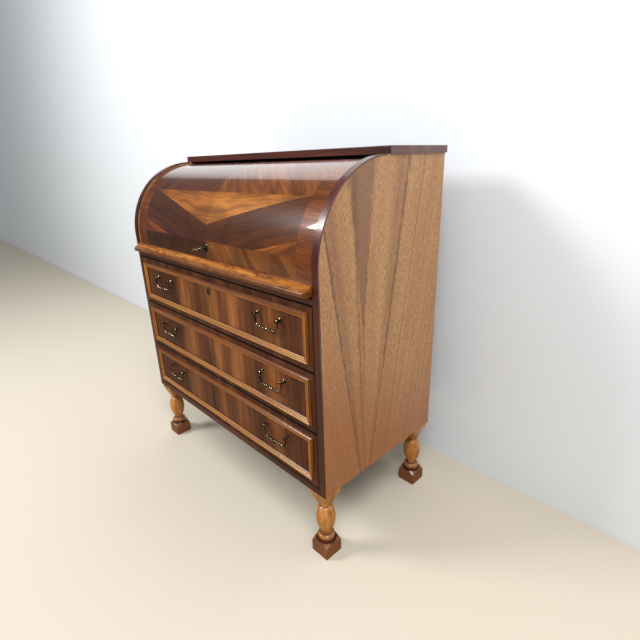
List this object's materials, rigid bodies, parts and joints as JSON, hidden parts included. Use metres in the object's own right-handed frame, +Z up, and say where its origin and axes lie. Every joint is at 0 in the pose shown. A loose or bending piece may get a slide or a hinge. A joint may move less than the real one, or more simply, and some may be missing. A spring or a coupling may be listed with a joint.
{
  "type": "roll top desk",
  "caption": "Upright desk with a rolling barrel lid, a pull-out writing slide, long drawers with bail handles and turned legs.",
  "frame": {"origin": "on the floor under the middle of the desk's overall box", "axes": "+X to the right of a person seated at the desk, +Y towards the desk's back, +Z up"},
  "size_m": [0.918, 0.512, 1.05],
  "materials": {
    "aged_brass": "dark antique brass, softly polished",
    "steel": "plain steel",
    "dark_mahogany": "dark red-brown gloss",
    "side_veneer": "light satin veneer with upright grain",
    "lid_veneer": "glossy quartered veneer",
    "walnut_front": "satin walnut veneer with upright grain",
    "golden_moulding": "satin reeded moulding",
    "figured_moulding": "glossy figured veneer",
    "turned_beech": "satin stained beech",
    "plywood": "plain plywood",
    "carcass_wood": "plain oiled softwood"
  },
  "bodies": {
    "carcass": {"side_panel_left": "side_veneer", "side_panel_right": "side_veneer", "edge_lipping_left": "dark_mahogany", "edge_lipping_right": "dark_mahogany", "top_board": "dark_mahogany", "back_panel": "plywood", "back_screws": "steel", "bottom_board": "carcass_wood", "divider_board": "dark_mahogany", "drawer_runners": "carcass_wood", "slide_runners": "carcass_wood", "desk_floor": "carcass_wood", "lid_pivots": "steel", "leg_front_left": "turned_beech", "leg_front_right": "turned_beech", "leg_rear_left": "turned_beech", "leg_rear_right": "turned_beech", "leg_studs": "steel", "pigeonhole_top": "carcass_wood", "pigeonhole_back": "carcass_wood", "pigeonhole_uprights": "carcass_wood", "pigeonhole_shelves": "carcass_wood"},
    "writing_slide": {"writing_board": "carcass_wood", "slide_moulding": "figured_moulding"},
    "barrel_lid": {"lid_panel": "lid_veneer", "lid_quadrant_left": "carcass_wood", "lid_quadrant_right": "carcass_wood", "lid_escutcheon": "aged_brass", "lid_lock": "steel"},
    "lid_bolt": {"lid_lock_bolt": "steel"},
    "lid_key": {"key": "aged_brass"},
    "drawer_1": {"drawer_1_front": "walnut_front", "drawer_1_moulding": "golden_moulding", "drawer_1_box": "carcass_wood", "drawer_1_bottom": "plywood", "drawer_1_handle_posts": "aged_brass", "drawer_1_escutcheon": "aged_brass", "drawer_1_lock": "steel"},
    "drawer_1_bail_left": {"drawer_1_bail_left": "aged_brass"},
    "drawer_1_bail_right": {"drawer_1_bail_right": "aged_brass"},
    "drawer_2": {"drawer_2_front": "walnut_front", "drawer_2_moulding": "golden_moulding", "drawer_2_box": "carcass_wood", "drawer_2_bottom": "plywood", "drawer_2_handle_posts": "aged_brass"},
    "drawer_2_bail_left": {"drawer_2_bail_left": "aged_brass"},
    "drawer_2_bail_right": {"drawer_2_bail_right": "aged_brass"},
    "drawer_3": {"drawer_3_front": "walnut_front", "drawer_3_moulding": "golden_moulding", "drawer_3_box": "carcass_wood", "drawer_3_bottom": "plywood", "drawer_3_handle_posts": "aged_brass"},
    "drawer_3_bail_left": {"drawer_3_bail_left": "aged_brass"},
    "drawer_3_bail_right": {"drawer_3_bail_right": "aged_brass"},
    "drawer_bolt": {"drawer_1_lock_bolt": "steel"},
    "small_drawer_left": {"small_drawer_left": "carcass_wood"},
    "small_drawer_right": {"small_drawer_right": "carcass_wood"}
  },
  "joints": [
    {"name": "slide_pull", "type": "slide", "parent": "carcass", "child": "writing_slide", "axis": [0, -1, 0], "range_m": [0, 0.23]},
    {"name": "lid_roll", "type": "hinge", "parent": "carcass", "child": "barrel_lid", "pos_m": [0, 0.01, 0.802], "axis": [-1, 0, 0], "range_deg": [0, 80]},
    {"name": "key_turn", "type": "hinge", "parent": "barrel_lid", "child": "lid_key", "pos_m": [0, -0.22, 0.804], "axis": [0, 1, 0], "range_deg": [0, 180]},
    {"name": "lid_bolt_throw", "type": "slide", "parent": "barrel_lid", "child": "lid_bolt", "axis": [0, 0, -1], "range_m": [0, 0.008]},
    {"name": "drawer_1_slide", "type": "slide", "parent": "carcass", "child": "drawer_1", "axis": [0, -1, 0], "range_m": [0, 0.3]},
    {"name": "drawer_1_bail_left_lift", "type": "hinge", "parent": "drawer_1", "child": "drawer_1_bail_left", "pos_m": [-0.277, -0.231, 0.668], "axis": [-1, 0, 0], "range_deg": [0, 85]},
    {"name": "drawer_1_bail_right_lift", "type": "hinge", "parent": "drawer_1", "child": "drawer_1_bail_right", "pos_m": [0.277, -0.231, 0.668], "axis": [-1, 0, 0], "range_deg": [0, 85]},
    {"name": "drawer_2_slide", "type": "slide", "parent": "carcass", "child": "drawer_2", "axis": [0, -1, 0], "range_m": [0, 0.3]},
    {"name": "drawer_2_bail_left_lift", "type": "hinge", "parent": "drawer_2", "child": "drawer_2_bail_left", "pos_m": [-0.277, -0.231, 0.504], "axis": [-1, 0, 0], "range_deg": [0, 85]},
    {"name": "drawer_2_bail_right_lift", "type": "hinge", "parent": "drawer_2", "child": "drawer_2_bail_right", "pos_m": [0.277, -0.231, 0.504], "axis": [-1, 0, 0], "range_deg": [0, 85]},
    {"name": "drawer_3_slide", "type": "slide", "parent": "carcass", "child": "drawer_3", "axis": [0, -1, 0], "range_m": [0, 0.3]},
    {"name": "drawer_3_bail_left_lift", "type": "hinge", "parent": "drawer_3", "child": "drawer_3_bail_left", "pos_m": [-0.277, -0.231, 0.34], "axis": [-1, 0, 0], "range_deg": [0, 85]},
    {"name": "drawer_3_bail_right_lift", "type": "hinge", "parent": "drawer_3", "child": "drawer_3_bail_right", "pos_m": [0.277, -0.231, 0.34], "axis": [-1, 0, 0], "range_deg": [0, 85]},
    {"name": "drawer_bolt_throw", "type": "slide", "parent": "drawer_1", "child": "drawer_bolt", "axis": [0, 0, 1], "range_m": [0, 0.008]},
    {"name": "small_drawer_left_slide", "type": "slide", "parent": "carcass", "child": "small_drawer_left", "axis": [0, -1, 0], "range_m": [0, 0.06]},
    {"name": "small_drawer_right_slide", "type": "slide", "parent": "carcass", "child": "small_drawer_right", "axis": [0, -1, 0], "range_m": [0, 0.06]}
  ],
  "couplings": [
    {"joint": "lid_roll", "follows": "slide_pull", "rad_per_m": 6.07},
    {"joint": "lid_bolt_throw", "follows": "key_turn", "m_per_rad": 0.0025462}
  ]
}
